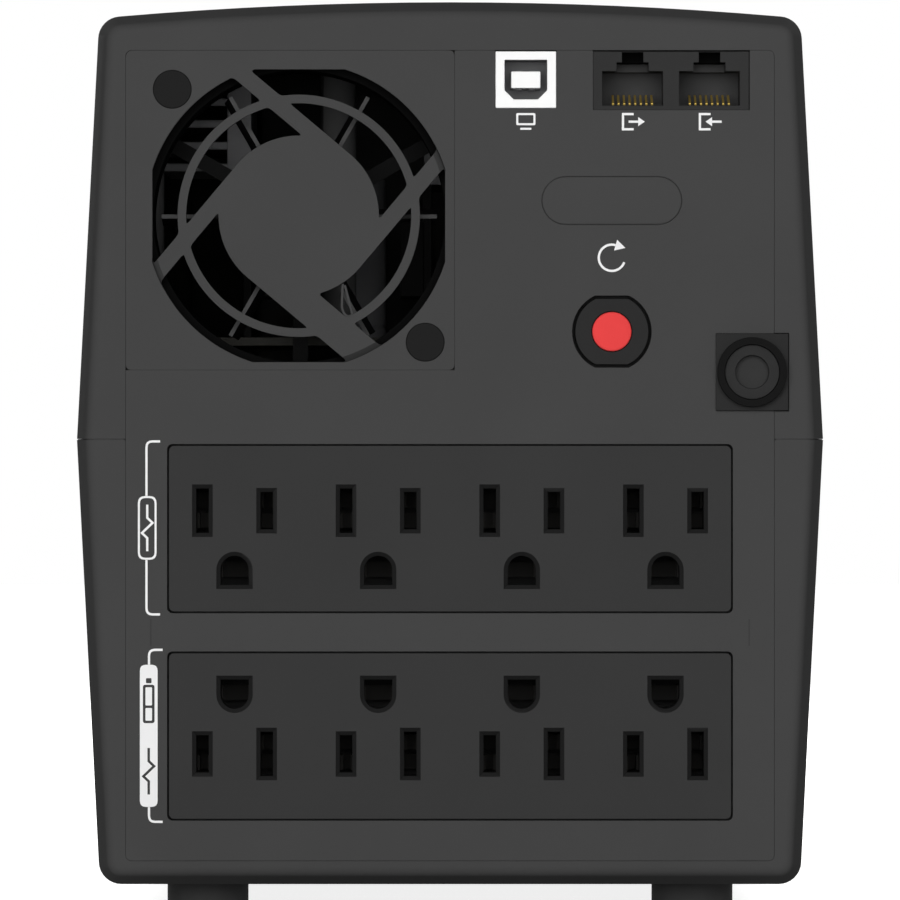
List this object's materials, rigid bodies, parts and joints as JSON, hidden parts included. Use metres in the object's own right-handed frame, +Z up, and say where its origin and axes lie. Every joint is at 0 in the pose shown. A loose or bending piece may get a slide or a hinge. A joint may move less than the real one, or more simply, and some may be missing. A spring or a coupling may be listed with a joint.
{
  "type": "uninterruptible power supply",
  "caption": "Mini-tower uninterruptible power supply with mains sockets, a fan grille, a reset breaker, data ports and a cord gland on its rear panel.",
  "frame": {"origin": "on the standing surface, under the middle of the case", "axes": "+Z up, -Y out of the socket panel, +Y towards the front, +X to the right seen from the socket side"},
  "size_m": [0.1478, 0.343, 0.1812],
  "materials": {
    "case_plastic": "fine moulded texture",
    "panel_plastic": "fine moulded texture",
    "socket_plastic": "smooth moulded",
    "dark_plastic": "smooth moulded",
    "white_plastic": "smooth moulded",
    "red_plastic": "smooth moulded",
    "grey_plastic": "satin",
    "display_gloss": "polished",
    "display_face": "film",
    "rubber": "moulded",
    "screw_steel": "zinc plated",
    "contact_brass": "stamped",
    "circuit_board": "solder mask",
    "heat_sink": "extruded",
    "core_steel": "varnished laminations",
    "coil_wrap": "wound wire under tape",
    "bobbin_plastic": "moulded",
    "capacitor_sleeve": "shrink sleeve",
    "battery_plastic": "moulded",
    "magnet": "sintered",
    "foam": "closed-cell foam",
    "red_wire": "insulation",
    "black_wire": "insulation"
  },
  "bodies": {
    "case": {"lower_shell": "case_plastic", "upper_shell": "case_plastic", "rear_panel": "panel_plastic", "front_panel": "case_plastic", "display_lens": "display_gloss", "display_module": "display_face", "display_board": "circuit_board", "power_switch": "dark_plastic", "feet": "rubber", "case_screws": "screw_steel", "fan_grille": "panel_plastic", "fan_rivets": "dark_plastic", "fan_frame": "dark_plastic", "fan_bearing": "contact_brass", "fan_stator": "core_steel", "socket_bank_upper": "socket_plastic", "socket_bank_lower": "socket_plastic", "bank_cover_upper": "socket_plastic", "bank_cover_lower": "socket_plastic", "bank_screws": "screw_steel", "line_contacts": "contact_brass", "neutral_contacts": "contact_brass", "earth_contacts": "contact_brass", "usb_socket": "white_plastic", "usb_contacts": "contact_brass", "network_jack": "dark_plastic", "network_contacts": "contact_brass", "port_board": "circuit_board", "port_board_screws": "screw_steel", "port_blank": "panel_plastic", "breaker_body": "dark_plastic", "breaker_terminals": "contact_brass", "cord_gland": "dark_plastic", "gland_bush": "rubber", "transformer_core": "core_steel", "transformer_bobbin": "bobbin_plastic", "transformer_coil": "coil_wrap", "transformer_bracket": "screw_steel", "transformer_bolts": "screw_steel", "main_board": "circuit_board", "board_screws": "screw_steel", "heat_sink_left": "heat_sink", "heat_sink_right": "heat_sink", "transistors": "dark_plastic", "capacitors": "capacitor_sleeve", "relays": "dark_plastic", "battery_left": "battery_plastic", "battery_right": "battery_plastic", "battery_tabs": "contact_brass", "battery_pads": "foam", "battery_jumper": "black_wire", "battery_lead_red": "red_wire", "battery_lead_black": "black_wire"},
    "fan_wheel": {"fan_rotor": "dark_plastic", "fan_shaft": "screw_steel", "fan_magnet": "magnet"},
    "reset": {"reset_button": "red_plastic"},
    "power_key": {"power_button": "grey_plastic"}
  },
  "joints": [
    {"name": "fan_spin", "type": "hinge", "parent": "case", "child": "fan_wheel", "pos_m": [-0.0299, -0.1619, 0.1388], "axis": [0, 1, 0], "continuous": true},
    {"name": "reset_pop", "type": "slide", "parent": "case", "child": "reset", "axis": [0, -1, 0], "range_m": [0, 0.004]},
    {"name": "power_press", "type": "slide", "parent": "case", "child": "power_key", "axis": [0, -1, 0], "range_m": [0, 0.0015], "stiffness_N_per_m": 600}
  ]
}
